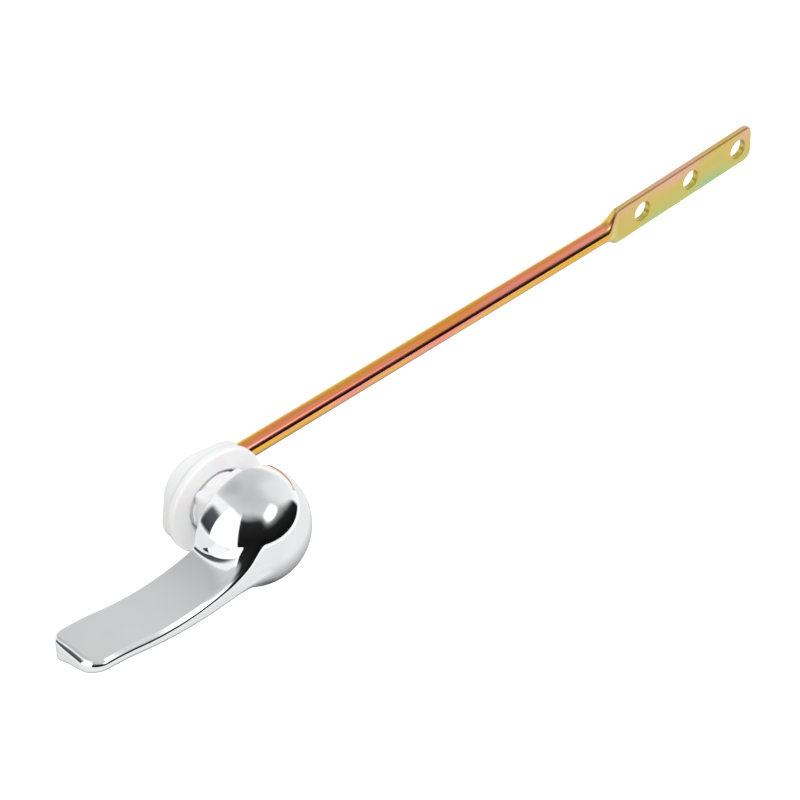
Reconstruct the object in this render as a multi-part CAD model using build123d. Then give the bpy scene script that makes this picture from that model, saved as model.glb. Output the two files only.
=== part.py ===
from build123d import *
import os
from math import asin, cos, degrees, radians, sin

# Front-mount cistern lever, in millimetres.
# X runs along the arm, Y runs from the user through the tank wall, Z is up.
# The origin is on the turning axis, at the outside face of the tank wall.

# Handle: a round dome with a curved paddle, cast in one
dome_radius = 14.75
dome_overhang = 2.75          # the dome's centre lies this far in front of its back face
wall_gap = 1.0                # the handle's back stands this far off the tank wall
dome_wall = 2.4               # least thickness of the cored dome
boss_diameter = 11.0          # boss inside the dome that grips the arm's end
front_step = 2.0              # the paddle's front lies this far behind the dome's
paddle_reach = 57.0           # turning axis to the paddle's tip
root_reach = 4.0              # the paddle starts inside the dome, this far from the axis
lip_length = 14.0             # the paddle's end, where its sag turns over and runs level at the tip
root_top = 4.6                # heights of the paddle's top above the turning axis
lip_top = -0.45
tip_top = 0.9
root_thickness = 7.8          # thicknesses along the paddle's front edge
lip_thickness = 3.1
tip_thickness = 3.0
underside_fall = 4.2          # the paddle is this much thicker along its back edge
tip_front_corner = 5.0        # corner radii of the tip, seen from above
tip_back_corner = 3.0
paddle_edge = 1.5             # rounding of the paddle's edges
neck_fillet = 7.0             # hollow where the paddle runs up into the dome

# Turning stop: a pin on a rib of the dome runs in a blind groove of the bushing's head
lift_angle = 45.0             # the arm lifts this far from rest
stop_radius = 8.8             # turning axis to the pin
stop_pin_diameter = 2.8
stop_gap = 0.3                # free space round the pin
rib_width = 2.6

# Bushing
head_diameter = 22.4
head_thickness = 2.2
head_edge = 0.5
groove_floor = 0.7            # plastic left behind the stop groove
square_side = 14.0
square_corner = 1.2
square_length = 7.26          # from the wall seat to the thread's shoulder
thread_diameter = 15.8        # outside of the thread
thread_length = 4.5
thread_chamfer = 0.6
running_gap = 0.07            # radial play of the arm in the bushing
end_gap = 0.25                # axial play of the lever at each end of the bushing

# Nut
nut_flange_diameter = 28.2
nut_flange_thickness = 2.4
nut_flange_edge = 0.7
nut_square = 24.1             # across the flats of the grip, a square with large corners
nut_corner = 8.5
nut_length = 6.2
nut_mouth_diameter = 17.8     # chamfered mouth of the thread
nut_thread_gap = 0.08
nut_seat_gap = 0.1            # between the nut and the thread's shoulder
nut_turned = -8.6             # the grip as it happens to stand, in degrees

# Arm: a rod bent at the bushing's end and pressed flat at its far end
rod_diameter = 5.1
rod_grip = 10.5               # length of the rod held in the handle's boss
bend_radius = 4.9             # at the rod's centre line
arm_reach = 198.5             # turning axis to the arm's tip
flat_length = 57.8
flat_width = 11.3
flat_thickness = 1.9
flat_corner = 3.0
flat_rise = 2.2               # the flat is bent up this far from the rod's line, in degrees
shoulder_length = 5.5         # where the round rod spreads into the flat
hole_diameter = 5.6
hole_pitch = 18.85
hole_edge = 5.7               # last hole's centre to the tip
hole_count = 3

# Places along the turning axis
hub_back = -wall_gap
dome_centre = hub_back - dome_overhang
dome_front = dome_centre - dome_radius
paddle_front = dome_front + front_step
paddle_depth = hub_back - paddle_front
head_front = -head_thickness
boss_end = head_front - end_gap
rod_end = boss_end - rod_grip
bushing_end = square_length + thread_length
bend_start = bushing_end + end_gap
arm_line = bend_start + bend_radius
nut_front = square_length + nut_seat_gap
nut_end = nut_front + nut_length
flat_start = arm_reach - flat_length
rod_radius = rod_diameter / 2

# The front plane looks along Y: its own x is the model's X, and its own y is the model's Z.
front_plane = Plane(origin=(0, 0, 0), x_dir=(1, 0, 0), z_dir=(0, -1, 0))


def prism(sketch, start, end):
    """A sketch in the front plane, pushed along the turning axis from start to end."""
    return extrude(front_plane.offset(-end) * sketch, end - start)


def disc(radius, start, end):
    """A round bar on the turning axis."""
    return prism(Circle(radius), start, end)


def ball(radius):
    """A sphere about the dome's centre, cut off flush with the dome's back."""
    cut = degrees(asin(dome_overhang / radius))
    return Pos(0, dome_centre, 0) * Rot(X=-90) * Sphere(radius, -90, cut, align=None)


def beside_curve(tip, lip, root, far):
    """The area between the height far and the paddle's sagging curve through three heights."""
    turn = TangentArc((-paddle_reach, tip), (lip_length - paddle_reach, lip), tangent=(1, 0))
    sag = TangentArc(turn @ 1, (-root_reach, root), tangent=turn % 1)
    ends = Polyline(sag @ 1, (-root_reach, far), (-paddle_reach, far), turn @ 0)
    return front_plane.offset(-paddle_front) * make_face([turn, sag, ends])


def make_paddle():
    """The curved paddle: straight from front to back above, a wedge below, with rounded edges."""
    below = beside_curve(tip_top, lip_top, root_top, -paddle_reach)
    above = beside_curve(
        tip_top - tip_thickness,
        lip_top - lip_thickness,
        root_top - root_thickness,
        paddle_reach,
    )
    slant = Vector(0, paddle_depth, -underside_fall)
    paddle = extrude(below, -paddle_depth) & extrude(above, slant.length, dir=slant.normalized())
    tip = paddle.faces().sort_by(Axis.X)[0]
    paddle = fillet([tip.edges().sort_by(Axis.Y)[0]], tip_front_corner)
    sides = [
        face
        for face in paddle.faces()
        if abs(face.normal_at(face.center()).Z) < 0.3
        and face.center().X < -dome_radius
        and face.center().Y < hub_back - paddle_edge
    ]
    rim = [
        edge
        for face in sides
        for edge in face.edges()
        if abs((edge % 0.5).Z) < 0.9 and (edge @ 0.5).Y < hub_back - paddle_edge
    ]
    paddle = fillet(rim, paddle_edge)
    plan = Pos(0, paddle_front) * RectangleRounded(2 * paddle_reach, 2 * paddle_depth, tip_back_corner)
    return paddle & extrude(plan, paddle_reach, both=True)


def make_core():
    """The hollow of the dome, drafted in cones, left solid at the boss and the rib."""
    inner = dome_radius - dome_wall
    slope = [(inner * cos(radians(a)), dome_centre - inner * sin(radians(a))) for a in (0, 35, 65, 90)]
    core = revolve(make_face(Polyline((0, hub_back), (inner, hub_back), *slope, close=True)), Axis.Y)
    rib = Pos(0, dome_radius / 2) * Rectangle(rib_width, dome_radius)
    return core - disc(boss_diameter / 2, dome_front, boss_end) - prism(rib, dome_front, boss_end)


def make_handle():
    """Dome and paddle in one, the dome cored round a boss, a rib and the stop pin."""
    handle = ball(dome_radius) + make_paddle()
    centre = Vector(0, dome_centre, 0)
    neck = [
        edge
        for edge in handle.edges()
        if abs((edge @ 0.5 - centre).length - dome_radius) < 0.01
        and (edge @ 0.5).X < 0
        and (edge @ 0.5).Y < hub_back - paddle_edge / 2
    ]
    handle = fillet(neck, neck_fillet) - make_core()
    handle += prism(Pos(0, stop_radius) * Circle(stop_pin_diameter / 2), boss_end, -groove_floor - stop_gap)
    return handle - disc(rod_radius, rod_end, boss_end)


def make_bushing():
    """Head with the stop groove, square shank for the tank's hole, and threaded barrel."""
    head = disc(head_diameter / 2, head_front, 0)
    head = chamfer(head.edges().group_by(Axis.Y)[0], head_edge)
    run = CenterArc((0, 0), stop_radius, 90, lift_angle)
    head -= prism(SlotArc(run, stop_pin_diameter + 2 * stop_gap), head_front, -groove_floor)
    shank = prism(RectangleRounded(square_side, square_side, square_corner), 0, square_length)
    barrel = disc(thread_diameter / 2, square_length, bushing_end)
    barrel = chamfer(barrel.edges().group_by(Axis.Y)[-1], thread_chamfer)
    return head + shank + barrel - disc(rod_radius + running_gap, head_front, bushing_end)


def make_nut():
    """Round flange and square grip, with a thread that opens in a chamfer at both ends."""
    flange = disc(nut_flange_diameter / 2, nut_front, nut_front + nut_flange_thickness)
    flange = chamfer(flange.edges(), nut_flange_edge)
    grip = RectangleRounded(nut_square, nut_square, nut_corner, rotation=nut_turned)
    nut = flange + prism(grip, nut_front + nut_flange_thickness / 2, nut_end)
    thread_radius = thread_diameter / 2 + nut_thread_gap
    nut -= disc(thread_radius, nut_front, nut_end)
    mouths = [
        edge
        for edge in nut.edges().filter_by(GeomType.CIRCLE)
        if abs(edge.radius - thread_radius) < nut_thread_gap / 2
    ]
    return chamfer(mouths, nut_mouth_diameter / 2 - thread_radius)


def make_arm():
    """Rod from the handle's boss through the bushing, bent along X and pressed flat at the end."""
    inside = Line((0, rod_end), (0, bend_start))
    bend = CenterArc((bend_radius, bend_start), bend_radius, 180, -90)
    outside = Line(bend @ 1, (flat_start, arm_line))
    rod = sweep(Plane(origin=(0, rod_end, 0), z_dir=(0, 1, 0)) * Circle(rod_radius), Wire([inside, bend, outside]))
    across = Plane(origin=(flat_start, arm_line, 0), x_dir=(0, 0, 1), z_dir=(1, 0, 0))
    section = across.offset(shoulder_length) * SlotOverall(flat_width, flat_thickness)
    flat = extrude(section, flat_length - shoulder_length)
    plan = Pos(arm_reach / 2, 0) * RectangleRounded(arm_reach, flat_width, flat_corner)
    flat &= prism(plan, arm_line - flat_thickness, arm_line + flat_thickness)
    holes = [
        Pos(arm_reach - hole_edge - place * hole_pitch, 0) * Circle(hole_diameter / 2)
        for place in range(hole_count)
    ]
    for hole in holes:
        flat -= prism(hole, arm_line - flat_thickness, arm_line + flat_thickness)
    rise = Axis((flat_start, arm_line, 0), (0, -1, 0))
    shoulder = loft([across * Circle(rod_radius), section.rotate(rise, flat_rise)])
    return rod + shoulder + flat.rotate(rise, flat_rise)


os.makedirs("parts", exist_ok=True)
export_step(make_handle(), "parts/handle.step")
export_step(make_bushing(), "parts/bushing.step")
export_step(make_nut(), "parts/nut.step")
export_step(make_arm(), "parts/arm.step")
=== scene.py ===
# %% [markdown]
# # A front-mount cistern lever
# The object is the trip lever of a toilet tank: a chromed handle outside the tank, a plastic bushing
# and nut that clamp the tank's wall, and a plated steel arm inside that lifts the flush chain.
# The imported model is the frame that everything here is fitted to, so it is loaded first. Nothing
# that is drawn below may grow out of it.

import bmesh
import bpy
import numpy as np
from mathutils import Matrix, Vector


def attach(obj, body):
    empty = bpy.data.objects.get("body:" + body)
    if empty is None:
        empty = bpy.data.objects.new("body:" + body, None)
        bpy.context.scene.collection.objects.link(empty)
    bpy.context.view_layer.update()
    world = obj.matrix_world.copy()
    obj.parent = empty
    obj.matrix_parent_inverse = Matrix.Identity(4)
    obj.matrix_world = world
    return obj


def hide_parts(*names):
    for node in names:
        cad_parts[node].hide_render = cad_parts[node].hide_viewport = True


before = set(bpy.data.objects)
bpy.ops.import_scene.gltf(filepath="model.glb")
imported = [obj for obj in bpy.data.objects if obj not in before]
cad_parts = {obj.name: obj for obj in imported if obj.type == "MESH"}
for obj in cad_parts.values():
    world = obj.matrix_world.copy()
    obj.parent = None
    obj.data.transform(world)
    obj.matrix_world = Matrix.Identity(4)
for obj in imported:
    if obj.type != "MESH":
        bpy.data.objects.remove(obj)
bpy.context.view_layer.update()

# %% [markdown]
# The shapes are worked out in millimetres, the unit that the part's drawing uses, and turned into
# metres only when a mesh is made. A shape is a grid of points, rows by columns. One helper joins the
# grids of a piece, welds the points that coincide, so that seams and poles are closed, turns all faces
# outwards and shades the result smooth.

# %% Grids to meshes
MM = 0.001


def grid_faces(rows, columns, closed):
    """Quads of a grid: each joins a point with the next one in its row and the two in the next row."""
    index = np.arange(rows * columns).reshape(rows, columns)
    if closed:
        index = np.concatenate([index, index[:, :1]], axis=1)
    corners = (index[:-1, :-1], index[:-1, 1:], index[1:, 1:], index[1:, :-1])
    return np.stack(corners, axis=-1).reshape(-1, 4)


def weld(points, faces, distance=1e-5):
    """Points that round to the same place become one, and the faces are told the new numbers."""
    keys, back = np.unique(np.round(points / distance).astype(np.int64), axis=0, return_inverse=True)
    merged = np.zeros((len(keys), 3))
    merged[back.ravel()] = points
    return merged, back.ravel()[faces]


print("a ring of 3 rows by 4 columns has", len(grid_faces(3, 4, True)), "quads")

# %% A piece from its grids


def make_piece(name, grids, material):
    """One mesh object from grids of points in millimetres, whose rows are closed rings.

    A quad that loses one corner in the welding becomes a triangle, and one that loses more is dropped."""
    points, faces, count = [], [], 0
    for grid in grids:
        rows, columns = grid.shape[:2]
        points.append(grid.reshape(-1, 3))
        faces.append(grid_faces(rows, columns, True) + count)
        count += rows * columns
    points, faces = weld(np.concatenate(points), np.concatenate(faces))
    same = faces == np.roll(faces, -1, axis=1)
    quads = faces[~same.any(axis=1)]
    bent = faces[same.sum(axis=1) == 1]
    first = np.argmax(bent == np.roll(bent, -1, axis=1), axis=1)
    order = (first[:, None] + np.array([1, 2, 3])) % 4
    triangles = np.take_along_axis(bent, order, axis=1)
    mesh = bpy.data.meshes.new(name)
    mesh.from_pydata((points * MM).tolist(), [], quads.tolist() + triangles.tolist())
    shell = bmesh.new()
    shell.from_mesh(mesh)
    bmesh.ops.recalc_face_normals(shell, faces=shell.faces)
    shell.to_mesh(mesh)
    shell.free()
    mesh.shade_smooth()
    mesh.materials.append(material)
    piece = bpy.data.objects.new(name, mesh)
    bpy.context.scene.collection.objects.link(piece)
    print(name, len(mesh.vertices), "points", len(mesh.polygons), "faces")
    return piece


# %% [markdown]
# ## The finishes
# Three finishes make the look: bright chrome on the cast handle, plain white moulded plastic, and the
# yellow zinc plating of the arm, which shimmers from gold to pink and green. They are wired from nodes,
# and four small helpers keep the wiring short: sums, a change of range, colour ramps and noise.

# %% Node helpers


def add_math(nodes, links, operation, first, second):
    """One sum of two values, each a socket or a number."""
    node = nodes.new("ShaderNodeMath")
    node.operation = operation
    for slot, value in zip(node.inputs, (first, second)):
        if isinstance(value, float):
            slot.default_value = value
        else:
            links.new(value, slot)
    return node.outputs["Value"]


def add_range(nodes, links, value, start, end, low=0.0, high=1.0):
    """A value's run from start to end, carried smoothly to low and high and held there outside it."""
    node = nodes.new("ShaderNodeMapRange")
    node.interpolation_type = "SMOOTHSTEP"
    for label, number in (("From Min", start), ("From Max", end), ("To Min", low), ("To Max", high)):
        node.inputs[label].default_value = number
    links.new(value, node.inputs["Value"])
    return node.outputs["Result"]


def add_ramp(nodes, links, value, colours):
    """A colour ramp over a value, from places and colours."""
    node = nodes.new("ShaderNodeValToRGB")
    while len(node.color_ramp.elements) < len(colours):
        node.color_ramp.elements.new(0.5)
    for element, (place, colour) in zip(node.color_ramp.elements, colours):
        element.position = place
        element.color = (*colour, 1.0)
    links.new(value, node.inputs["Fac"])
    return node.outputs["Color"]


def add_noise(nodes, links, place, stretch, scale, detail):
    """Noise on object coordinates that are stretched along the axes."""
    mapping = nodes.new("ShaderNodeMapping")
    mapping.inputs["Scale"].default_value = stretch
    links.new(place, mapping.inputs["Vector"])
    node = nodes.new("ShaderNodeTexNoise")
    node.inputs["Scale"].default_value = scale
    node.inputs["Detail"].default_value = detail
    links.new(mapping.outputs["Vector"], node.inputs["Vector"])
    return node.outputs["Fac"]


print("helpers", [helper.__name__ for helper in (add_math, add_range, add_ramp, add_noise)])

# %% [markdown]
# No real surface is quite even, and all three finishes get the same fine unevenness. So that is one
# shared group: a soft mottle for colour and gloss, and a fine grain for the bump.

# %% Shared surface grain


def make_grain_group():
    """A group that turns object coordinates into a soft mottle and a fine grain."""
    group = bpy.data.node_groups.new("surface_grain", "ShaderNodeTree")
    for label, default in (("Mottle", 120.0), ("Grain", 2500.0)):
        kind = "NodeSocketFloat"
        scale = group.interface.new_socket(label + " Scale", in_out="INPUT", socket_type=kind)
        scale.default_value = default
        group.interface.new_socket(label, in_out="OUTPUT", socket_type=kind)
    nodes, links = group.nodes, group.links
    inputs, outputs = nodes.new("NodeGroupInput"), nodes.new("NodeGroupOutput")
    place = nodes.new("ShaderNodeTexCoord")
    for label, detail in (("Mottle", 3.0), ("Grain", 2.0)):
        noise = nodes.new("ShaderNodeTexNoise")
        noise.inputs["Detail"].default_value = detail
        links.new(place.outputs["Object"], noise.inputs["Vector"])
        links.new(inputs.outputs[label + " Scale"], noise.inputs["Scale"])
        links.new(noise.outputs["Fac"], outputs.inputs[label])
    return group


grain_group = make_grain_group()
print("group", grain_group.name, [item.name for item in grain_group.interface.items_tree])

# %% [markdown]
# Each finish starts from the same nodes: the grain group and a bump. Chrome and plastic also take their
# colour and their gloss from the mottle. A helper wires each of the two steps, and the finish gives the
# numbers.

# %% A finish from the grain


def start_finish(name, mottle_scale, grain_scale, strength, distance):
    """A material whose bump follows the grain; also its shader and the socket of its mottle."""
    material = bpy.data.materials.new(name)
    material.use_nodes = True
    nodes, links = material.node_tree.nodes, material.node_tree.links
    shader = nodes["Principled BSDF"]
    grain = nodes.new("ShaderNodeGroup")
    grain.node_tree = grain_group
    grain.inputs["Mottle Scale"].default_value = mottle_scale
    grain.inputs["Grain Scale"].default_value = grain_scale
    relief = nodes.new("ShaderNodeBump")
    relief.inputs["Strength"].default_value = strength
    relief.inputs["Distance"].default_value = distance
    links.new(grain.outputs["Grain"], relief.inputs["Height"])
    links.new(relief.outputs["Normal"], shader.inputs["Normal"])
    return material, shader, grain.outputs["Mottle"]


def follow_mottle(material, shader, mottle, colours, rough):
    """Colour from a ramp over the mottle, and roughness straight from one value to the other."""
    nodes, links = material.node_tree.nodes, material.node_tree.links
    links.new(add_ramp(nodes, links, mottle, colours), shader.inputs["Base Color"])
    gloss = nodes.new("ShaderNodeMapRange")
    gloss.inputs["To Min"].default_value, gloss.inputs["To Max"].default_value = rough
    links.new(mottle, gloss.inputs["Value"])
    links.new(gloss.outputs["Result"], shader.inputs["Roughness"])


print("helpers", start_finish.__name__, follow_mottle.__name__)

# %% [markdown]
# The handle is cast and chromed, so it is a plain metal that is almost a mirror. The bushing and the nut
# are moulded in white plastic, which lets a little light in below its skin, and so they get some
# subsurface scattering.

# %% Chrome and white plastic
chrome, shader, mottle = start_finish("bright_chrome", 90.0, 420.0, 0.002, 0.0004)
chrome_shades = [(0.25, (0.86, 0.87, 0.88)), (0.75, (0.92, 0.925, 0.93))]
follow_mottle(chrome, shader, mottle, chrome_shades, (0.03, 0.07))
shader.inputs["Metallic"].default_value = 1.0

white_plastic, shader, mottle = start_finish("white_moulded_plastic", 160.0, 2600.0, 0.08, 0.0002)
plastic_shades = [(0.2, (0.93, 0.93, 0.935)), (0.8, (0.965, 0.965, 0.97))]
follow_mottle(white_plastic, shader, mottle, plastic_shades, (0.38, 0.52))
shader.inputs["Subsurface Weight"].default_value = 0.35
shader.inputs["Subsurface Radius"].default_value = (1.0, 0.55, 0.30)
shader.inputs["Subsurface Scale"].default_value = 0.003
print("finishes", chrome.name, white_plastic.name)

# %% [markdown]
# The zinc's colour comes from a thin film whose thickness changes from place to place. So the colour is
# read off a ramp that goes from orange through pink to gold, at a value that runs across the rod and is
# pushed about by slow and fine noise along it. The flat end has a ramp of its own, olive with green and
# pink.

# %% Yellow zinc on the rod
ROD_LINE = 16.91
yellow_zinc, shader, _ = start_finish("yellow_zinc_plate", 70.0, 1800.0, 0.05, 0.0002)
nodes, links = yellow_zinc.node_tree.nodes, yellow_zinc.node_tree.links
place = nodes.new("ShaderNodeTexCoord").outputs["Object"]
split = nodes.new("ShaderNodeSeparateXYZ")
links.new(place, split.inputs["Vector"])
slow = add_noise(nodes, links, place, (1.0, 6.0, 6.0), 16.0, 2.0)
fine = add_noise(nodes, links, place, (0.06, 1.0, 1.0), 900.0, 3.0)
depth = add_math(nodes, links, "SUBTRACT", split.outputs["Y"], ROD_LINE * MM)
inward = add_math(nodes, links, "MULTIPLY", depth, -148.0)
downward = add_math(nodes, links, "MULTIPLY", split.outputs["Z"], -129.0)
across = add_math(nodes, links, "ADD", add_math(nodes, links, "ADD", inward, downward), 0.5)
pushed = add_math(nodes, links, "ADD", across, add_range(nodes, links, slow, 0.3, 0.7, -0.22, 0.22))
pushed = add_math(nodes, links, "ADD", pushed, add_range(nodes, links, fine, 0.2, 0.8, -0.12, 0.12))
rod_colour = add_ramp(nodes, links, pushed, [
    (0.00, (0.80, 0.46, 0.03)),
    (0.25, (0.90, 0.31, 0.05)),
    (0.50, (0.92, 0.28, 0.20)),
    (0.64, (0.95, 0.34, 0.26)),
    (0.80, (0.90, 0.50, 0.07)),
    (1.00, (0.86, 0.46, 0.04)),
])
print("finish", yellow_zinc.name, "rod ramp ready")

# %% [markdown]
# On the flat the film lies in blotches instead of streaks, greener below than above, with one green patch
# between the last two holes. The two ramps are mixed along the shoulder, where the gloss changes too.

# %% The flat's colours
FLAT_FROM, FLAT_TO = 0.138, 0.147
blotch = add_noise(nodes, links, place, (1.0, 1.0, 1.6), 55.0, 3.0)
height = add_math(nodes, links, "MULTIPLY", split.outputs["Z"], 50.0)
film = add_math(nodes, links, "ADD", add_math(nodes, links, "ADD", blotch, height), -0.02)
patch = add_math(
    nodes, links, "MULTIPLY",
    add_range(nodes, links, split.outputs["X"], 0.172, 0.182),
    add_range(nodes, links, split.outputs["X"], 0.187, 0.196, 1.0, 0.0),
)
film = add_math(nodes, links, "ADD", film, add_math(nodes, links, "MULTIPLY", patch, -0.16))
film = add_math(nodes, links, "ADD", film, add_range(nodes, links, fine, 0.2, 0.8, -0.05, 0.05))
flat_colour = add_ramp(nodes, links, film, [
    (0.10, (0.42, 0.62, 0.26)),
    (0.28, (0.56, 0.62, 0.19)),
    (0.45, (0.70, 0.57, 0.11)),
    (0.62, (0.78, 0.55, 0.16)),
    (0.82, (0.86, 0.50, 0.32)),
])
blend = nodes.new("ShaderNodeMix")
blend.data_type = "RGBA"
links.new(add_range(nodes, links, split.outputs["X"], FLAT_FROM, FLAT_TO), blend.inputs["Factor"])
links.new(rod_colour, blend.inputs[6])
links.new(flat_colour, blend.inputs[7])
links.new(blend.outputs[2], shader.inputs["Base Color"])
gloss = add_range(nodes, links, split.outputs["X"], FLAT_FROM, FLAT_TO, 0.11, 0.36)
gloss = add_math(nodes, links, "ADD", gloss, add_range(nodes, links, fine, 0.2, 0.8, -0.03, 0.05))
links.new(gloss, shader.inputs["Roughness"])
shader.inputs["Metallic"].default_value = 1.0
shader.inputs["Coat Weight"].default_value = 0.5
shader.inputs["Coat Roughness"].default_value = 0.06
print("flat ramp ready")

# %% [markdown]
# ## The handle
# The handle is one casting: a dome cut off flat at the back, a paddle that sags away from it and turns
# over at its tip, and a hollow where the two run together. It could be modelled by hand with
# subdivision, but bright chrome shows every dent, so the shape is given as exact distances instead.
# Each form is a function that says how far a point is outside it and which way is out. Where two forms
# overlap, their edge is rounded by a ball rolled along inside it, which is just how a fillet is drawn,
# and where two forms join, a soft hollow fills the corner.

# %% Distances and their directions
# Sizes of the part in millimetres; TOP and THICK are given at the tip, the lip and the root.
DOME_RADIUS, DOME_CENTRE, HUB_BACK, FRONT = 14.75, -3.75, -1.0, -16.5
REACH, LIP, ROOT = 57.0, 43.0, 4.0
TOP = (0.9, -0.45, 4.6)
THICK = (3.0, 3.1, 7.8)
FALL = 4.2 / (HUB_BACK - FRONT)


def ease(t):
    """Slow start and slow end between 0 and 1."""
    return t * t * (3 - 2 * t)


def round_and(first, second, radius):
    """Where two forms overlap, with a ball of the radius rolled inside along their edge.

    With both forms drawn in by the radius, the distance to their edge is found from the two distances
    and the cosine g of the angle between the outward directions, as in a skew triangle."""
    (a, out_a), (b, out_b) = first, second
    g = np.clip((out_a * out_b).sum(-1), -0.999, 0.999)
    da, db = a + radius, b + radius
    pa, pb = da - g * db, db - g * da
    spread = 1 - g * g
    reach = np.sqrt(np.maximum(da * pa + db * pb, 1e-12) / spread)
    edge = (pa > 0) & (pb > 0)
    turned = (pa[..., None] * out_a + pb[..., None] * out_b) / (spread * reach)[..., None]
    flat = np.where((a > b)[..., None], out_a, out_b)
    return np.where(edge, reach - radius, np.maximum(a, b)), np.where(edge[..., None], turned, flat)


square_edge = [(np.zeros(1), np.eye(3)[:1]), (np.zeros(1), np.eye(3)[2:])]
print("a 2 mm rounding takes", round_and(*square_edge, 2.0)[0].round(3), "mm off a square edge")

# %% Bevels and hollows


def bevel_and(first, second, leg, radius, second_radius):
    """Distance where two forms overlap, with a flat bevel along their edge that is rounded on both sides.

    The bevel's plane lies where 0.8 of one distance and 0.6 of the other add up to minus the leg."""
    (a, out_a), (b, out_b) = first, second
    g = np.clip((out_a * out_b).sum(-1), -0.9, 0.999)
    size = np.sqrt(1 + 0.96 * g)
    plane = (0.8 * a + 0.6 * b + leg) / size, (0.8 * out_a + 0.6 * out_b) / size[..., None]
    return np.maximum(round_and(first, plane, radius)[0], round_and(second, plane, second_radius)[0])


def hollow_or(first, second, radius):
    """Distance from two forms joined by a soft hollow that starts where a fillet of the radius would.

    With g the cosine between the outward directions, such a fillet reaches k = radius x (1 - g) from
    one form where it touches the other. Where the two distances differ by less than k, the lesser one
    is lowered by a quarter of k times the square of what is left of it."""
    (a, out_a), (b, out_b) = first, second
    k = np.maximum(radius * (1 - (out_a * out_b).sum(-1)), 1e-6)
    left = np.maximum(1 - np.abs(a - b) / k, 0)
    return np.minimum(a, b) - left**2 * k / 4


print("a 2 mm hollow adds", -hollow_or(*square_edge, 2.0).round(3), "mm in a square corner")

# %% [markdown]
# The paddle's side view is two arcs that run into each other: one leaves the tip level and turns down,
# and the next sags up to the dome. The height above such an arc is its signed radius less the distance
# from its centre.

# %% The paddle's curves


def tangent_arcs(tip, lip, root):
    """Centres and signed radii of the tip's arc, level at the tip, and of the sag that goes on from it."""
    start, middle, end = np.array([-REACH, tip]), np.array([-LIP, lip]), np.array([-ROOT, root])
    way = np.array([1.0, 0.0])
    arcs = []
    for near, far in ((start, middle), (middle, end)):
        chord = far - near
        side = np.array([-way[1], way[0]])
        radius = chord @ chord / (2 * chord @ side)
        arcs.append((near + radius * side, radius))
        way = 2 * (way @ chord) / (chord @ chord) * chord - way
    return arcs


def height_over(arcs, x, z):
    """Height of a point over a pair of arcs and its direction; the arcs change over at the lip."""
    (c0, r0), (c1, r1) = arcs
    ahead = (x - c0[0]) * (-LIP - c0[0]) / abs(-LIP - c0[0]) < abs(-LIP - c0[0])
    cx, cz = np.where(ahead, c0[0], c1[0]), np.where(ahead, c0[1], c1[1])
    radius = np.where(ahead, r0, r1)
    far = np.hypot(x - cx, z - cz)
    sign = np.sign(radius)
    return radius - sign * far, -sign * (x - cx) / far, -sign * (z - cz) / far


def line_height(arcs, x):
    """The height of a pair of arcs at x, from the circle's equation."""
    (c0, r0), (c1, r1) = arcs
    first = c0[1] - np.sign(r0) * np.sqrt(np.maximum(r0**2 - (x - c0[0]) ** 2, 0))
    second = c1[1] - np.sign(r1) * np.sqrt(np.maximum(r1**2 - (x - c1[0]) ** 2, 0))
    return np.where(x < -LIP, first, second)


top_arcs = tangent_arcs(*TOP)
low_arcs = tangent_arcs(*(top - thick for top, thick in zip(TOP, THICK)))
print("sag radius", round(top_arcs[1][1], 1), "tip radius", round(-top_arcs[0][1], 1))

# %% [markdown]
# Now the forms are put together. The dome is a sphere, and the paddle is the room between its two curves
# and inside its plan. The photograph shows a tight corner behind the neck and a wide hollow in front of
# it, so the hollow's radius changes from back to front.

# %% The dome and the paddle's plan


def dome(p):
    """Distance from the dome's sphere and its direction."""
    offset = p - np.array([0.0, DOME_CENTRE, 0.0])
    far = np.linalg.norm(offset, axis=-1)
    return far - DOME_RADIUS, offset / np.maximum(far, 1e-9)[..., None]


def paddle_plan(p, front_corner=5.0, back_corner=3.0):
    """Distance from the paddle's outline seen from above: front, tip, back and two round corners."""
    x, y = p[..., 0], p[..., 1]
    side = np.where(y < (HUB_BACK + FRONT) / 2, -1.0, 1.0)
    corner = np.where(side < 0, front_corner, back_corner)
    dx = -REACH + corner - x
    dy = np.where(side < 0, FRONT - y, y - HUB_BACK) + corner
    far = np.maximum(np.hypot(np.maximum(dx, 0), np.maximum(dy, 0)), 1e-9)
    bend = (dx > 0) & (dy > 0)
    distance = np.where(bend, far, np.maximum(dx, dy)) - corner
    nx = np.where(bend, -dx / far, np.where(dx > dy, -1.0, 0.0))
    ny = np.where(bend, dy / far, np.where(dx > dy, 0.0, 1.0)) * side
    return distance, np.stack([nx, ny, np.zeros_like(nx)], axis=-1)


print("on the dome's front", dome(np.array([[0.0, -18.5, 0.0]]))[0].round(4))

# %% The paddle


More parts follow.
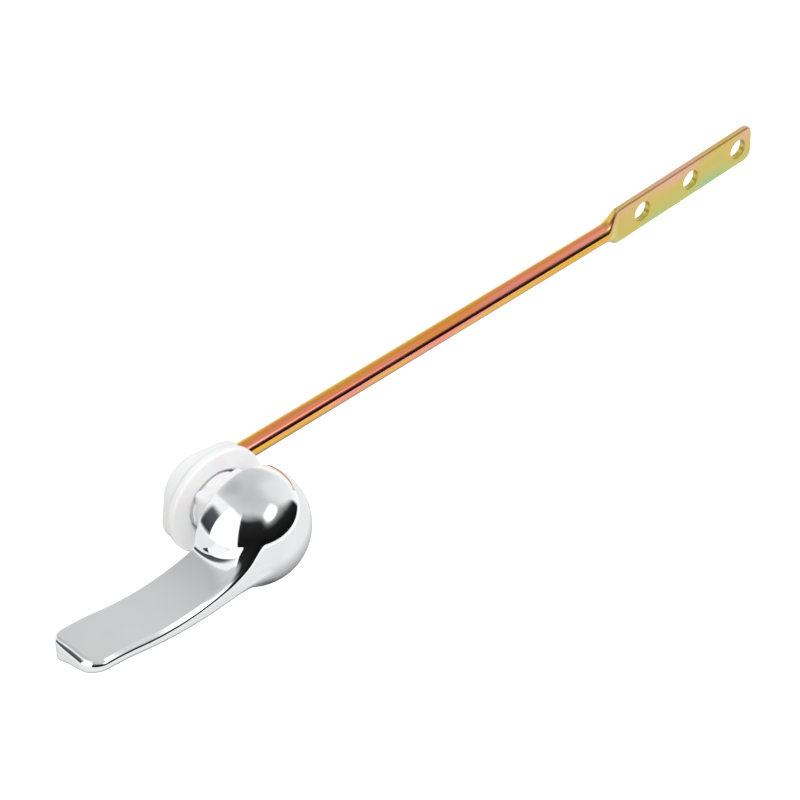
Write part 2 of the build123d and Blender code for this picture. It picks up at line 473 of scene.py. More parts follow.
def paddle(p, rim=1.5, back_rim=0.6):
    """Distance from the paddle: under the top arcs, over the wedge's underside, inside the plan.

    The top edge is bevelled, the lower one round, and both more in front than at the back. In front the
    bevel changes into a plain rounding towards the dome. Past the root, which lies inside the dome, the
    section stays the same and draws in steadily. The direction that goes with the distance is that of a
    paddle with broadly rounded edges, so that it turns slowly and the hollow comes out even."""
    beyond = np.maximum(p[..., 0] + ROOT, 0)
    p = p - beyond[..., None] * np.array([1.0, 0.0, 0.0])
    x, y, z = np.moveaxis(p, -1, 0)
    high, hx, hz = height_over(top_arcs, x, z)
    top = high, np.stack([hx, np.zeros_like(hx), hz], axis=-1)
    low, lx, lz = height_over(low_arcs, x, z + FALL * (y - FRONT))
    steep = np.sqrt(1 + (FALL * lz) ** 2)
    under = -low / steep, np.stack([-lx, -FALL * lz, -lz], axis=-1) / steep[..., None]
    plan = paddle_plan(p)
    edge = rim + (back_rim - rim) * ease(np.clip((y + 8.0) / 7.0, 0, 1))
    near = ease(np.clip((x + 26.0) / 15.0, 0, 1)) * ease(np.clip((-8.0 - y) / 5.0, 0, 1))
    bevel = bevel_and(top, plan, 0.5 * edge, 0.2 * edge, 0.8 * edge)
    upper = bevel + (round_and(top, plan, 2.0)[0] - bevel) * near
    lower = round_and(under, plan, edge)[0]
    above = (top[0] > under[0])[..., None]
    broad = np.where(above, round_and(top, plan, 3.0)[1], round_and(under, plan, 3.0)[1])
    return np.maximum(upper, lower) + beyond, broad


print("at the paddle's tip", paddle(np.array([[-REACH, -9.0, -1.0]]))[0].round(4))

# %% The whole casting as one distance


def casting(p, hollow=2.0, front_hollow=14.0, back_edge=0.3):
    """Dome and paddle joined by the hollow, cut off flat at the back with a slightly broken edge.

    The hollow grows wider towards the front with the square of the way there."""
    hollow = hollow + (front_hollow - hollow) * np.clip((-3.0 - p[..., 1]) / 13.0, 0, 1) ** 2
    back = p[..., 1] - HUB_BACK, np.broadcast_to(np.array([0.0, 1.0, 0.0]), p.shape)
    ball = dome(p)
    distance = hollow_or((round_and(ball, back, back_edge)[0], ball[1]), paddle(p), hollow)
    return np.maximum(distance, back[0])


print("on the dome", casting(np.array([[0.0, -18.5, 0.0], [14.75, -3.75, 0.0]])).round(4))

# %% [markdown]
# The grid of points lies on the casting like this: a column starts on the flat back, goes over the
# edge and forward to the front, and ends on the handle's spine. The columns fan round the dome, turn at
# the neck, cross the paddle and fan round its tip.

# %% Columns round the handle


def spine_height(x):
    """The middle of the paddle's front edge, running in to the turning axis inside the dome."""
    middle = (line_height(top_arcs, x) + line_height(low_arcs, x)) / 2
    return middle * ease(np.clip(-x / 14.0, 0, 1))


# The neck's end and the start of the tip's fan along X, then angles in degrees: the two ends of the
# dome's fan, and the place on the core's mouth where the back's middle line starts.
NECK, END, UPPER, LOWER, SPLIT = -21.0, -52.0, 148.0, -128.0, -168.0
to_neck, to_tip = np.linspace(0, 1, 60)[1:], np.linspace(0, 1, 70)[1:]
from_tip, from_neck = np.append(0.0, to_tip), to_neck[::-1][1:]
fan_dome = np.linspace(UPPER, LOWER, 150)
fan_tip = np.linspace(270, 90, 46)[1:-1] - 360
angle = np.concatenate([
    fan_dome,
    LOWER + (-90 - LOWER) * ease(to_neck),
    np.full_like(to_tip, -90),
    fan_tip,
    np.full_like(from_tip, -270),
    UPPER - 360 + (90 - UPPER) * ease(from_neck),
])
foot = np.concatenate([
    np.zeros_like(fan_dome),
    NECK * to_neck,
    NECK + (END - NECK) * to_tip,
    np.full_like(fan_tip, END),
    END + (NECK - END) * from_tip,
    NECK * from_neck,
])
mouth_turn = np.concatenate([
    fan_dome,
    LOWER + (SPLIT - LOWER) * to_neck,
    np.full(len(to_tip) + len(fan_tip) + len(from_tip), SPLIT),
    UPPER - 360 + (SPLIT + 360 - UPPER) * from_neck,
])
print("columns", len(angle), len(foot), len(mouth_turn))

# %% [markdown]
# Each point is found by shooting a ray from inside and halving the distance until it meets the skin. The
# rays are first spread evenly, then drawn together where the skin bends most, and last evened out from
# column to column, so that the rows run smoothly through the neck.

# %% Rays to the skin


def to_skin(start, way, limit=45.0, steps=40):
    """How far along each ray the casting's distance turns positive, by halving."""
    low, high = np.zeros(way.shape[:-1]), np.full(way.shape[:-1], limit)
    for _ in range(steps):
        middle = (low + high) / 2
        inside = casting(start + middle[..., None] * way) < 0
        low, high = np.where(inside, middle, low), np.where(inside, high, middle)
    return start + ((low + high) / 2)[..., None] * way


def handle_skin(rows=100, fine=300, bend=5.0):
    """Rows by columns of points on the casting, from the flat back to the front spine.

    In the upright plane of a column the ray's direction swings from the back edge to straight forward;
    its steps are equal in length plus a share of the turning of the skin. Each column's directions are
    then mixed a few times with those of its two neighbours."""
    turn = np.radians(angle)
    out = np.stack([np.cos(turn), np.zeros_like(turn), np.sin(turn)], axis=-1)
    core = np.stack([foot, np.full_like(foot, -8.0), spine_height(foot)], axis=-1)
    base = np.stack([foot, np.full_like(foot, HUB_BACK - 1e-6), spine_height(foot)], axis=-1)
    back_rim = to_skin(base, out)
    width = np.linalg.norm(back_rim - base, axis=-1) - 0.9
    first = np.arctan2(HUB_BACK - core[:, 1], width)
    forward = np.array([0.0, 1.0, 0.0])

    def shoot(swing):
        way = np.cos(swing)[..., None] * out + np.sin(swing)[..., None] * forward
        return to_skin(core, way)

    swing = first + (-np.pi / 2 - first) * np.linspace(0, 1, fine)[:, None]
    skin = shoot(swing)
    step = np.diff(skin, axis=0)
    length = np.linalg.norm(step, axis=-1)
    unit = step / np.maximum(length, 1e-9)[..., None]
    bending = np.linalg.norm(np.diff(unit, axis=0), axis=-1)
    weight = length.copy()
    weight[1:] += bend * bending / 2
    weight[:-1] += bend * bending / 2
    total = np.concatenate([np.zeros((1, len(turn))), np.cumsum(weight, axis=0)])
    share = total / total[-1]
    columns = np.arange(len(turn)) * 2.0
    wanted = np.linspace(0, 1, rows)[:, None] + columns
    placed = np.interp(wanted.T.ravel(), (share + columns).T.ravel(), swing.T.ravel())
    placed = placed.reshape(len(turn), rows).T
    for _ in range(8):
        placed = (np.roll(placed, 1, axis=1) + 2 * placed + np.roll(placed, -1, axis=1)) / 4
    return shoot(placed)


skin = handle_skin()
corners = skin.reshape(-1, 3)
print("skin", skin.shape, "from", corners.min(0).round(2), "to", corners.max(0).round(2))

# %% [markdown]
# The flat back runs from the edge in to the mouth of the cored dome, and along the paddle to a middle
# line. The core itself is turned: it goes up the inside of the dome, down the boss that grips the arm,
# and into the arm's socket. A rib and a pin for the turning stop stand in the core.

# %% The flat back and the core
MOUTH, BOSS, SOCKET = 12.35, 5.5, 2.55
BOSS_END, ROD_END = -2.45, -12.95
turn = np.radians(mouth_turn)
mouth_x, mouth_z = MOUTH * np.cos(turn), MOUTH * np.sin(turn)
along = np.clip((foot - NECK) / (END - NECK), 0, 1)
line_x = mouth_x + along * (END - mouth_x)
back_top, back_low = line_height(top_arcs, line_x), line_height(low_arcs, line_x)
back_middle = (back_top + back_low - FALL * (HUB_BACK - FRONT)) / 2
line_z = mouth_z + (back_middle - mouth_z) * ease(np.clip((mouth_x - line_x) / 12.0, 0, 1))
inner = np.stack([line_x, np.full_like(turn, HUB_BACK), line_z], axis=-1)
steps = np.linspace(0, 1, 7)[:, None, None]
flat_back = inner + (skin[0] - inner) * steps

arc = np.radians(np.linspace(0, 66, 10))
inside = np.stack([MOUTH * np.cos(arc), DOME_CENTRE - MOUTH * np.sin(arc)], axis=-1)
boss = [(BOSS + 0.1, -14.95), (BOSS, -14.6), (BOSS, BOSS_END - 0.2), (BOSS - 0.2, BOSS_END)]
seat = [(SOCKET + 0.2, BOSS_END), (SOCKET, BOSS_END - 0.2), (SOCKET, ROD_END), (0, ROD_END)]
profile = np.concatenate([[(MOUTH, HUB_BACK)], inside, boss, seat])
ring = np.radians(np.unique(np.round(mouth_turn, 9)))
core = np.stack([
    profile[:, :1] * np.cos(ring),
    np.broadcast_to(profile[:, 1:], (len(profile), len(ring))),
    profile[:, :1] * np.sin(ring),
], axis=-1)
print("back", flat_back.shape, "core", core.shape)

# %% Rib, pin and the finished handle


def revolve(profile, centre, count=40):
    """A profile of radius and Y turned about an axis along Y that goes through the centre (x, z)."""
    turn = np.linspace(0, 2 * np.pi, count, endpoint=False)
    radius, y = np.array(profile).T
    x = centre[0] + radius[:, None] * np.cos(turn)
    z = centre[1] + radius[:, None] * np.sin(turn)
    return np.stack([x, np.broadcast_to(y[:, None], x.shape), z], axis=-1)


def bar(outline, start, end, axis):
    """A closed outline pushed along one axis from start to end, with flat ends drawn to a point."""
    outline = np.array(outline, float)
    point = np.broadcast_to(outline.mean(0), outline.shape)
    rings = np.stack([point, outline, outline, point])
    place = np.broadcast_to(np.array([start, start, end, end])[:, None], rings.shape[:2])
    return np.insert(rings, axis, place, axis=-1)


swing = np.radians(np.linspace(0, 62, 8))
under_dome = np.stack([DOME_CENTRE - 13.0 * np.sin(swing), 13.0 * np.cos(swing)], axis=-1)
rib = bar([(-15.0, 5.0), (BOSS_END, 5.0), (BOSS_END, 12.7)] + under_dome.tolist(), -1.3, 1.3, 0)
pin = revolve([(0, -3.2), (1.4, -3.2), (1.4, -1.25), (1.15, -1.0), (0, -1.0)], (0.0, 8.8))
handle = make_piece("chromed_handle", [skin[:, ::-1], flat_back[:, ::-1], core, rib, pin], chrome)
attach(handle, "lever")
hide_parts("handle")

# %% [markdown]
# ## The bushing and the nut
# Both are plain white mouldings. The bushing has a round head inside the dome, a square shank for the
# tank's hole and a threaded barrel. The nut is a round flange with a square grip that has large
# corners. Each is a turned profile whose radius also changes with the angle where it is square or
# threaded.

# %% Outlines that change with the angle


def many_sided(turn, sides, inside, corner, start):
    """Radius of a regular outline with rounded corners: flat to where the corner's circle takes over."""
    half = np.pi / sides
    off = np.mod(turn - start + half, 2 * half) - half
    flat = inside / np.cos(off)
    centre = (inside - corner) / np.cos(half)
    from_corner = half - np.abs(off)
    bow = np.sqrt(np.maximum(corner**2 - (centre * np.sin(from_corner)) ** 2, 0))
    switch = np.arctan((inside - corner) * np.tan(half) / inside)
    return np.where(np.abs(off) < switch, flat, centre * np.cos(from_corner) + bow)


def gathered(sides, start, count):
    """Angles round the circle, drawn together near the corners of an outline."""
    t = np.linspace(0, 2 * np.pi, count, endpoint=False)
    return start + np.pi / sides + t - 0.8 * np.sin(sides * t) / sides


def turned(profile, turn, outline):
    """Rows of a profile (share of the outline, radius, Y): radius = share x outline + own radius."""
    share, radius, y = (np.array(column)[:, None] for column in zip(*profile))
    r = share * outline + radius
    return np.stack([r * np.cos(turn), np.broadcast_to(y, r.shape), r * np.sin(turn)], axis=-1)


def rounded(share, radius, y, size, start, end, count=5):
    """Rows of a rounded edge about a centre at radius and y, from one angle to another."""
    t = np.radians(np.linspace(start, end, count))
    return [(share, radius + size * np.cos(a), y + size * np.sin(a)) for a in t]


print("a 14 mm square reaches", many_sided(np.pi / 4, 4, 7.0, 1.2, 0.0).round(3), "mm at its corners")

# %% Thread and groove


def threaded(turn, start, end, radius, depth, pitch, per_turn=10):
    """A thread's skin: the radius is a rounded wave of Y plus the turn, which fades at both ends."""
    y = np.linspace(start, end, int(abs(end - start) / pitch * per_turn) + 1)[:, None]
    wave = np.cos(2 * np.pi * y / pitch + turn)
    wave = np.clip(1.6 * wave, -1, 1)
    near = np.minimum(np.abs(y - start), np.abs(y - end)) / (0.5 * pitch)
    r = radius + depth / 2 * (wave - 1) * ease(np.clip(near, 0, 1)) * np.ones_like(turn)
    return np.stack([r * np.cos(turn), np.broadcast_to(y, r.shape), r * np.sin(turn)], axis=-1)


def groove_rows(turn, radius=8.8, half=1.7, first=90.0, last=135.0, face=-2.2, floor=-0.7):
    """Four rows down and up the walls of a blind groove along an arc, with half-round ends.

    Past an end the walls stand at the radius times the cosine of the angle gone past it, plus and minus
    the half chord of the end's circle. Away from the groove the four rows fall together."""
    place = np.degrees(turn)
    past = np.radians(np.maximum(np.maximum(first - place, place - last), 0))
    past = np.minimum(past, np.arcsin(half / radius))
    half_chord = np.sqrt(np.maximum(half**2 - (radius * np.sin(past)) ** 2, 0))
    middle = radius * np.cos(past)
    deep = np.where(half_chord > 1e-3, floor, face)
    r = np.stack([middle - half_chord, middle - half_chord, middle + half_chord, middle + half_chord])
    y = np.stack([np.full_like(deep, face), deep, deep, np.full_like(deep, face)])
    return np.stack([r * np.cos(turn), y, r * np.sin(turn)], axis=-1)


print("the groove's round ends reach", np.degrees(np.arcsin(1.7 / 8.8)).round(2), "degrees past its run")

# %% [markdown]
# The bushing is one closed skin. Its rows start in the bore, go over the head with the groove of the
# turning stop, along the square shank and the thread, and back to the bore. The columns are drawn together
# at the corners of the square and at the ends of the groove.

# %% The bushing
ends = np.radians(np.concatenate([np.linspace(78.86, 90, 9), np.linspace(135, 146.14, 9)]))
turn = np.unique(np.concatenate([np.mod(gathered(4, 0.0, 192), 2 * np.pi), ends]))
square = many_sided(turn, 4, 7.0, 1.2, 0.0)
bore, head, barrel = 2.62, 11.2, 7.9
face, shoulder, end = -2.2, 7.26, 11.76
bore_rows = turned([(0, bore, end - 0.2), (0, bore, face + 0.2), (0, bore + 0.2, face)], turn, square)
side_rows = turned(
    rounded(0, head - 0.5, face + 0.5, 0.5, -90, 0)
    + rounded(0, head - 0.2, -0.2, 0.2, 0, 90, 4)
    + [(1, 0.0, 0.0), (1, 0.0, 3.6)]
    + rounded(1, -0.3, shoulder - 0.3, 0.3, 0, 90)
    + [(0, barrel - 0.35, shoulder)],
    turn,
    square,
)
thread = threaded(turn, shoulder, end - 0.6, barrel - 0.05, 0.7, 2.0)
end_rows = turned([(0, barrel - 0.6, end), (0, bore + 0.2, end), (0, bore, end - 0.2)], turn, square)
bushing_grid = np.concatenate([bore_rows, groove_rows(turn), side_rows, thread, end_rows])
bushing = make_piece("plastic_bushing", [bushing_grid], white_plastic)
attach(bushing, "mounting")
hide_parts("bushing")

# %% [markdown]
# The nut's rows run from its back over the square grip and the flange to its front, and then back through
# the thread. It stands turned by a few degrees, as it happens to in the photograph.

# %% The nut
lean = np.radians(-8.6)
turn = gathered(4, lean, 240)
grip = many_sided(turn, 4, 12.05, 8.5, lean)
flange, thread_radius, mouth = 14.1, 7.98, 8.9
nut_back, flange_back, nut_front = 13.56, 9.76, 7.36
outer_rows = turned(
    [(0, mouth + 0.12, nut_back), (1, -0.5, nut_back)]
    + rounded(1, -0.45, nut_back - 0.45, 0.45, 75, 0)
    + [(1, 0.0, 10.6)]
    + rounded(1, 0.45, flange_back + 0.45, -0.45, 0, 60, 4)
    + [(0, flange - 0.75, flange_back)]
    + rounded(0, flange - 0.7, flange_back - 0.7, 0.7, 90, 0, 6)
    + rounded(0, flange - 0.7, nut_front + 0.7, 0.7, 0, -90, 6)
    + [(0, 11.0, nut_front), (0, mouth + 0.12, nut_front), (0, mouth, nut_front + 0.06)],
    turn,
    grip,
)
thread = threaded(turn, nut_front + 0.9, nut_back - 0.9, thread_radius + 0.02, -0.55, 2.0)
last = turned([(0, mouth, nut_back - 0.06), (0, mouth + 0.12, nut_back)], turn, grip)
nut_grid = np.concatenate([outer_rows, thread, last])
nut = make_piece("flanged_nut", [nut_grid[:, ::-1]], white_plastic)
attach(nut, "clamp_nut")
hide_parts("nut")

# %% [markdown]
# ## The arm
# The arm is steel rod, bent once and pressed flat at its far end, where three holes take the chain. The
# rod is a round section carried along the bend. Its section keeps the same points all the way: across
# the arm they stand at half the width times the sine of an angle, so the round rod, the shoulder and
# the flat join point to point.

# %% The rod
ROD, BEND, OUT = 2.55, 4.9, 12.01
FLAT, TIP_X, SHOULDER = 140.7, 198.5, 5.5
WIDE, THIN, LIFT = 5.65, 0.95, 2.2
ring = np.linspace(-np.pi / 2, np.pi / 2, 33)
both = np.concatenate([ring, np.pi - ring[-2:0:-1]])


def edge_height(inset, thin):
    """Half the thickness of a bar with full round edges, at a distance inside its outline."""
    inset = np.clip(inset, 0, thin)
    return np.sqrt(np.maximum(thin**2 - (thin - inset) ** 2, 0))


def rod_rows():
    """The round section along the straight inside, the bend and the straight outside."""
    inside, outside = np.linspace(ROD_END, OUT, 30)[:-1], np.linspace(BEND, FLAT, 60)[1:]
    swing = np.radians(np.linspace(0, 90, 24))
    x = np.concatenate([np.zeros_like(inside), BEND - BEND * np.cos(swing), outside])
    y = np.concatenate([inside, OUT + BEND * np.sin(swing), np.full_like(outside, ROD_LINE)])
    lean = np.concatenate([np.zeros_like(inside), swing, np.full_like(outside, np.pi / 2)])
    across, up = ROD * np.cos(both), ROD * np.sin(both)
    px = x[:, None] - np.cos(lean)[:, None] * across
    py = y[:, None] + np.sin(lean)[:, None] * across
    return np.stack([px, py, np.broadcast_to(up, px.shape)], axis=-1)


print("rod", rod_rows().shape)

# %% The shoulder and the lift


def shoulder_rows(count=14):
    """The rod spreads into the flat: width and thickness change with an easy start and end."""
    t = np.linspace(0, 1, count)[1:, None]
    s = ease(t)
    wide, thin = ROD + (WIDE - ROD) * s, ROD + (THIN - ROD) * s
    z = wide * np.sin(both)
    round_side = thin * np.abs(np.cos(both))
    flat_side = edge_height(wide - np.abs(z), thin)
    high = np.where(np.cos(both) < 0, -1, 1) * (round_side + (flat_side - round_side) * s)
    x = np.broadcast_to(FLAT + SHOULDER * t, z.shape)
    return np.stack([x, ROD_LINE + high, z], axis=-1)


def lifted(points):
    """Turns the flat up about its start by the lift, with an easy start and end over the shoulder."""
    x, y, z = np.moveaxis(points, -1, 0)
    turn = np.radians(LIFT) * ease(np.clip((x - FLAT) / SHOULDER, 0, 1))
    off = x - FLAT
    return np.stack([
        FLAT + off * np.cos(turn) - z * np.sin(turn),
        y,
        off * np.sin(turn) + z * np.cos(turn),
    ], axis=-1)


cap = np.broadcast_to(np.array([0.0, ROD_END, 0.0]), (1, len(both), 3))
rod = np.concatenate([cap, rod_rows(), shoulder_rows()])
print("rod with shoulder", rod.shape)

# %% [markdown]
# The flat is cut into three stretches, one round each hole. In each, straight lines run from the hole's
# edge out to the border of the stretch, so the holes are real openings with walls and slightly broken
# edges, and no boolean is needed.

# %% The flat and its holes
HOLE, CORNER = 2.8, 3.0
HOLES = (155.1, 173.95, 192.8)
STRETCHES = (FLAT + SHOULDER, 164.5, 183.4, TIP_X)


def inset_from_outline(x, z):
    """How far a point of the flat lies inside its outline, which has two round corners at the tip."""
    dx, dz = x - (TIP_X - CORNER), np.abs(z) - (WIDE - CORNER)
    corner = (dx > 0) & (dz > 0)
    return np.where(corner, CORNER - np.hypot(dx, dz), np.minimum(TIP_X - x, WIDE - np.abs(z)))


def cell(centre, start, end, rows=22, broken=0.22):
    """One stretch of the flat round its hole: straight lines from the hole's edge to the border."""
    z = WIDE * np.sin(ring)
    side = np.linspace(start, min(end, TIP_X - CORNER), 34)[1:-1]
    if end < TIP_X:
        far = np.stack([np.full_like(z, end), z], axis=-1)[::-1]
    else:
        swing = np.radians(np.linspace(90, 0, 14))
        round_x, round_z = TIP_X - CORNER + CORNER * np.cos(swing), WIDE - CORNER + CORNER * np.sin(swing)
        bend = np.stack([round_x, round_z], axis=-1)
        down = np.linspace(1, -1, 9)[1:-1] * (WIDE - CORNER)
        straight = np.stack([np.full_like(down, TIP_X), down], axis=-1)
        far = np.concatenate([bend, straight, (bend * [1, -1])[::-1]])
    near = np.stack([np.full_like(z, start), z], axis=-1)
    upper = np.stack([side, np.full_like(side, WIDE)], axis=-1)
    lower = np.stack([side[::-1], np.full_like(side, -WIDE)], axis=-1)
    border = np.concatenate([near, upper, far, lower])
    reach = border - [centre, 0.0]
    hole = [centre, 0.0] + HOLE * reach / np.linalg.norm(reach, axis=-1)[:, None]
    t = (1 - np.cos(np.pi * np.linspace(0, 1, rows)))[:, None, None] / 2
    spot = hole + (border - hole) * t
    x, z = spot[..., 0], spot[..., 1]
    gap = np.clip(np.hypot(x - centre, z) - HOLE, 0, broken)
    high = edge_height(inset_from_outline(x, z), THIN) - (broken - edge_height(gap, broken))
    top = np.stack([x, ROD_LINE - high, z], axis=-1)
    low = np.stack([x, ROD_LINE + high, z], axis=-1)
    wall = top[0] + (low[0] - top[0]) * np.linspace(0, 1, 5)[:, None, None]
    return [top[:, ::-1], low, wall]


arm_grids = [rod]
for centre, start, end in zip(HOLES, STRETCHES[:-1], STRETCHES[1:]):
    arm_grids += cell(centre, start, end)
arm = make_piece("plated_arm", [lifted(grid) for grid in arm_grids], yellow_zinc)
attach(arm, "lever")
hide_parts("arm")

# %% [markdown]
# ## Studio
# Chrome shows nothing but its surroundings, so the studio is half of its look. The background is white
# to the camera and to mirrors, and only softly bright as a light. A floor far below the object glows a
# little to the camera, so that it is nearly as white and still takes the shadow.

# %% World and floor


def seen_by_mirrors(nodes, links):
    """1 for rays from the camera, from mirrors and through glass, else 0."""
    path = nodes.new("ShaderNodeLightPath").outputs
    mirror = add_math(nodes, links, "MAXIMUM", path["Is Glossy Ray"], path["Is Transmission Ray"])
    return add_math(nodes, links, "MAXIMUM", path["Is Camera Ray"], mirror)


def sheet(name, points, material):
    """A stage sheet from a grid of points in metres; its UV goes from 0 to 1 along columns and rows."""
    rows, columns = points.shape[:2]
    mesh = bpy.data.meshes.new(name)
    mesh.from_pydata(points.reshape(-1, 3).tolist(), [], grid_faces(rows, columns, False).tolist())
    mesh.materials.append(material)
    spot = np.empty(len(mesh.loops), dtype=np.int32)
    mesh.loops.foreach_get("vertex_index", spot)
    u, v = np.meshgrid(np.linspace(0, 1, columns), np.linspace(0, 1, rows))
    flat = np.stack([u.ravel(), v.ravel()], axis=-1)[spot]
    mesh.uv_layers.new(name="UVMap").data.foreach_set("uv", flat.astype(np.float32).ravel())
    piece = bpy.data.objects.new(name, mesh)
    bpy.context.scene.collection.objects.link(piece)
    print("stage", name, rows, "by", columns)
    return piece


world = bpy.data.worlds.new("white_studio")
bpy.context.scene.world = world
world.use_nodes = True
nodes, links = world.node_tree.nodes, world.node_tree.links
bright = add_range(nodes, links, seen_by_mirrors(nodes, links), 0.0, 1.0, 0.60, 1.0)
links.new(bright, nodes["Background"].inputs["Strength"])
nodes["Background"].inputs["Color"].default_value = (1.0, 1.0, 1.0, 1.0)

floor_paint = bpy.data.materials.new("pale_floor")
floor_paint.use_nodes = True
nodes, links = floor_paint.node_tree.nodes, floor_paint.node_tree.links
paint = nodes["Principled BSDF"]
paint.inputs["Base Color"].default_value = (0.8, 0.8, 0.8, 1.0)
paint.inputs["Roughness"].default_value = 0.9
paint.inputs["Emission Color"].default_value = (1.0, 1.0, 1.0, 1.0)
glow = add_range(nodes, links, seen_by_mirrors(nodes, links), 0.0, 1.0, 0.0, 0.62)
links.new(glow, paint.inputs["Emission Strength"])
FLOOR = -0.30
fx, fy = np.meshgrid(np.linspace(-6, 6, 3), np.linspace(-6, 6, 3))
floor = sheet("floor", np.stack([fx, fy, np.full_like(fx, FLOOR)], axis=-1), floor_paint)

# %% [markdown]
# Cards that only mirrors can see stand round the object, each a patch of a sphere: a dark flag on the
# camera's side, a grey ceiling, light sides and a small bright lamp panel. Lamps alone would leave the
# chrome blank, and a picture of a room would show things that aren't there. Most edges of the cards
# fade out, because the photograph's reflections are soft.

# %% Paint and shape of the cards


def card_paint(name, shades, soft, span=(0.0, 1.0)):
    """A glowing paint that goes from one shade to the other over its span and fades out at four sides."""
    material = bpy.data.materials.new(name)
    material.use_nodes = True
    nodes, links = material.node_tree.nodes, material.node_tree.links
    split = nodes.new("ShaderNodeSeparateXYZ")
    links.new(nodes.new("ShaderNodeUVMap").outputs["UV"], split.inputs["Vector"])
    cover = 1.0
    for axis, near, far in (("X", soft[0], soft[1]), ("Y", soft[2], soft[3])):
        along = split.outputs[axis]
        rest = add_math(nodes, links, "SUBTRACT", 1.0, along)
        for value, width in ((along, near), (rest, far)):
            part = add_range(nodes, links, value, 0.0, max(width, 1e-4))
            cover = add_math(nodes, links, "MULTIPLY", cover, part)
    glow = nodes.new("ShaderNodeEmission")
    links.new(add_ramp(nodes, links, split.outputs["Y"], list(zip(span, shades))), glow.inputs["Color"])
    clear = nodes.new("ShaderNodeBsdfTransparent")
    mix = nodes.new("ShaderNodeMixShader")
    links.new(cover, mix.inputs["Fac"])
    links.new(clear.outputs["BSDF"], mix.inputs[1])
    links.new(glow.outputs["Emission"], mix.inputs[2])
    links.new(mix.outputs["Shader"], nodes["Material Output"].inputs["Surface"])
    return material


def mirror_only(piece):
    """Hides a card from everything but mirrors."""
    piece.visible_camera = False
    piece.visible_diffuse = False
    piece.visible_shadow = False
    piece.visible_transmission = False


def card(name, azimuth, low, high, shades, distance, soft=(0, 0, 0, 0)):
    """A patch of a large sphere that only mirrors see, between the first azimuth and the last.

    Its lower and upper elevations go in straight runs from one azimuth of the list to the next."""
    turn = np.radians(np.linspace(azimuth[0], azimuth[-1], 90))[None, :]
    bottom, top = (np.interp(turn, np.radians(azimuth), np.radians(edge)) for edge in (low, high))
    rise = bottom + (top - bottom) * np.linspace(0, 1, 16)[:, None]
    x, y = np.cos(rise) * np.cos(turn), np.cos(rise) * np.sin(turn)
    points = distance * np.stack([x, y, np.sin(rise)], axis=-1)
    mirror_only(sheet(name, points, card_paint(name + "_paint", shades, soft)))


def grey(level):
    """A neutral shade."""
    return (level, level, level)


# %% The cards
card("white_card", [156, 212], [-4, -4], [64, 64], (grey(1.15), grey(1.15)), 2.9)
card("grey_ceiling", [-180, -156, -112, -97, -60, -10, 10, 47, 104, 119, 133, 152, 170, 180],
     [58, 54, 46, 38, 30, 10, 5, 5, 28, 41, 50, 56, 59, 58], [90] * 14,
     (grey(0.72), grey(0.57)), 2.8, (0, 0, 0.15, 0))
card("bright_side", [-48, 38], [4, 4], [76, 76], (grey(0.92), grey(0.76)), 2.75, (0.35, 0.35, 0.1, 0.4))
card("grey_patch", [52, 125], [32, 36], [80, 80], (grey(0.50), grey(0.55)), 2.7, (0.45, 0.45, 0.4, 0.4))
card("dark_flag", [-151, -112, -97, -80], [0] * 4, [68, 66, 60, 55],
     (grey(0.004), grey(0.03)), 2.6, (0, 0.3, 0, 0.36))
card("dark_flag_right", [-151, -112, -60, -41, -28, -16, -8], [0] * 7, [50, 50, 50, 44, 33, 21, 9],
     (grey(0.004), grey(0.03)), 2.65, (0, 0.05, 0, 0.55))
card("lamp_panel", [-93, -38], [31, 34], [54, 57], (grey(4.0), grey(4.0)), 2.4, (0.48, 0.48, 0.48, 0.48))
card("dark_gap", [120, 132, 142, 157], [-6] * 4, [32, 38, 42, 44],
     ((0.018, 0.021, 0.03), grey(0.14)), 0.75, (0.35, 0, 0.2, 0.25))


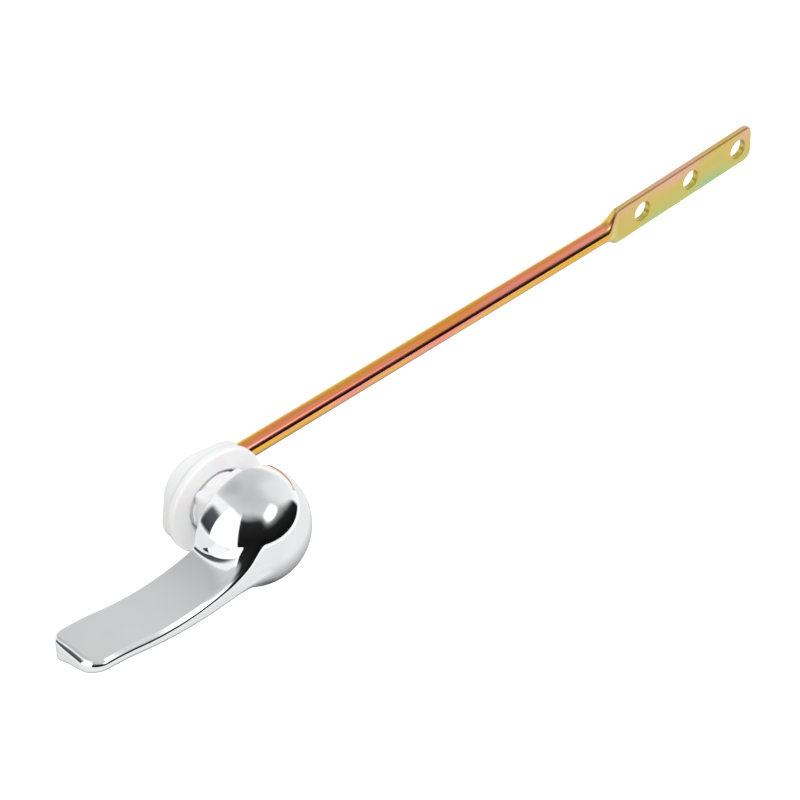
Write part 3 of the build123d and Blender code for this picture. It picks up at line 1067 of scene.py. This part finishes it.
def painted_floor_shadow():
    """What mirrors see of the floor: a disc just over it that carries a painted shadow of the object, dark
    in the middle and light further out.
    """
    turn = np.linspace(0, 2 * np.pi, 73)
    reach = 3.0 * np.linspace(0, 1, 24)[:, None] ** 2
    x, y = 0.08 + reach * np.cos(turn), 0.09 + reach * np.sin(turn)
    points = np.stack([x, y, np.full_like(x, FLOOR + 0.005)], axis=-1)
    # The dark middle shade is a painted shadow of the object on the floor, and the disc's centre is set
    # off to the side where that shadow falls.
    shades, soft, span = ((0.13, 0.135, 0.15), grey(0.90)), (0, 0, 0, 0), (0.12, 0.36)
    mirror_only(sheet("painted_floor_shadow", points, card_paint("painted_floor_shadow_paint", shades, soft, span)))


painted_floor_shadow()

# %% [markdown]
# Two soft lamps give the white plastic its shape and the floor its shadow. Mirrors don't see them,
# because the cards already stand for what the chrome reflects.

# %% Lamps


def soft_lamp(name, place, aim, size, power):
    """A square lamp at a place in metres, turned to face a point."""
    light = bpy.data.lights.new(name, "AREA")
    light.size = size
    light.energy = power
    lamp = bpy.data.objects.new(name, light)
    lamp.location = place
    lamp.rotation_euler = (Vector(aim) - Vector(place)).to_track_quat("-Z", "Y").to_euler()
    lamp.visible_glossy = False
    bpy.context.scene.collection.objects.link(lamp)
    print("lamp", name, power, "watts")


soft_lamp("key_lamp", (-0.5, -0.9, 1.3), (0.06, 0.0, 0.0), 0.8, 12.0)
soft_lamp("fill_lamp", (1.0, -0.9, 0.9), (0.06, 0.0, 0.0), 0.8, 4.0)

# %% [markdown]
# ## Camera
# The photograph looks down on the lever from the front left with a long lens. The camera's own axes are
# written out from the angles that fit the photograph: its direction, its height and a slight roll.

# %% Camera
back = np.array([-0.5165, -0.5630, 0.6450])
back /= np.linalg.norm(back)
side = np.cross([0.0, 0.0, 1.0], back)
side /= np.linalg.norm(side)
up = np.cross(back, side)
roll = np.radians(-0.99)
right_way = np.cos(roll) * side + np.sin(roll) * up
up_way = np.cos(roll) * up - np.sin(roll) * side
SENSOR, FOCAL_PIXELS, PHOTO_PIXELS = 36.0, 2908, 800
lens = bpy.data.cameras.new("camera")
lens.sensor_width = SENSOR
lens.lens = SENSOR * FOCAL_PIXELS / PHOTO_PIXELS
camera = bpy.data.objects.new("camera", lens)
axes = np.eye(4)
axes[:3, 0], axes[:3, 1], axes[:3, 2] = right_way, up_way, back
axes[:3, 3] = np.array([-312.7, -397.5, 460.7]) * MM
camera.matrix_world = Matrix(axes.tolist())
bpy.context.scene.collection.objects.link(camera)
bpy.context.scene.camera = camera
bpy.context.scene.view_settings.view_transform = "Standard"
print("camera", axes[:3, 3].round(4), "lens", round(lens.lens, 1))
